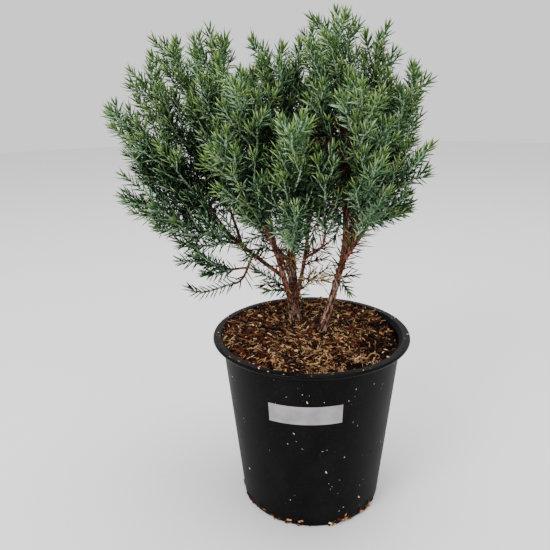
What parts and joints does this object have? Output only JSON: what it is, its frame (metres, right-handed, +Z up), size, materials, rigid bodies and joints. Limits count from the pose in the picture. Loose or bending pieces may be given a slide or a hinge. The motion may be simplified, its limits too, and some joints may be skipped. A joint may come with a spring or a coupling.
{
  "type": "potted arborvitae shrub",
  "caption": "Young blue balloon arborvitae with juvenile needle foliage on two stems, in a round black nursery pot of bark mix with a blank label.",
  "frame": {"origin": "middle of the pot's flat underside, at the height of the surface it stands on", "axes": "+Z up; the label and the plant's front face -Y; +X is to the right of someone who looks at the front"},
  "size_m": [0.2397, 0.1824, 0.3793],
  "materials": {
    "pot_plastic": "satin",
    "mix": "matte",
    "paper": "matte",
    "bark": "matte",
    "needles": "matte"
  },
  "bodies": {
    "root": {"bough_back_high": "bark", "bough_back_left": "bark", "bough_back_low_left": "bark", "bough_back_low_right": "bark", "bough_back_middle": "bark", "bough_back_right": "bark", "bough_back_top": "bark", "bough_centre": "bark", "bough_centre_left": "bark", "bough_centre_top": "bark", "bough_far_left": "bark", "bough_far_right": "bark", "bough_front": "bark", "bough_front_right": "bark", "bough_hanging": "bark", "bough_left": "bark", "bough_left_outer": "bark", "bough_left_top": "bark", "bough_low_left": "bark", "bough_low_right": "bark", "bough_mid_left": "bark", "bough_right_front": "bark", "bough_right_low": "bark", "bough_right_mid": "bark", "bough_right_top": "bark", "bough_sprig": "bark", "foliage_back_high": "needles", "foliage_back_left": "needles", "foliage_back_low_left": "needles", "foliage_back_low_right": "needles", "foliage_back_middle": "needles", "foliage_back_right": "needles", "foliage_back_top": "needles", "foliage_centre": "needles", "foliage_centre_left": "needles", "foliage_centre_top": "needles", "foliage_far_left": "needles", "foliage_far_right": "needles", "foliage_front": "needles", "foliage_front_right": "needles", "foliage_hanging": "needles", "foliage_left": "needles", "foliage_left_outer": "needles", "foliage_left_top": "needles", "foliage_low_left": "needles", "foliage_low_right": "needles", "foliage_mid_left": "needles", "foliage_middle": "needles", "foliage_right_front": "needles", "foliage_right_low": "needles", "foliage_right_mid": "needles", "foliage_right_tall": "needles", "foliage_right_top": "needles", "foliage_sprig": "needles", "label": "paper", "pot": "pot_plastic", "potting_mix": "mix", "stem_left": "bark", "stem_right": "bark"}
  },
  "joints": []
}
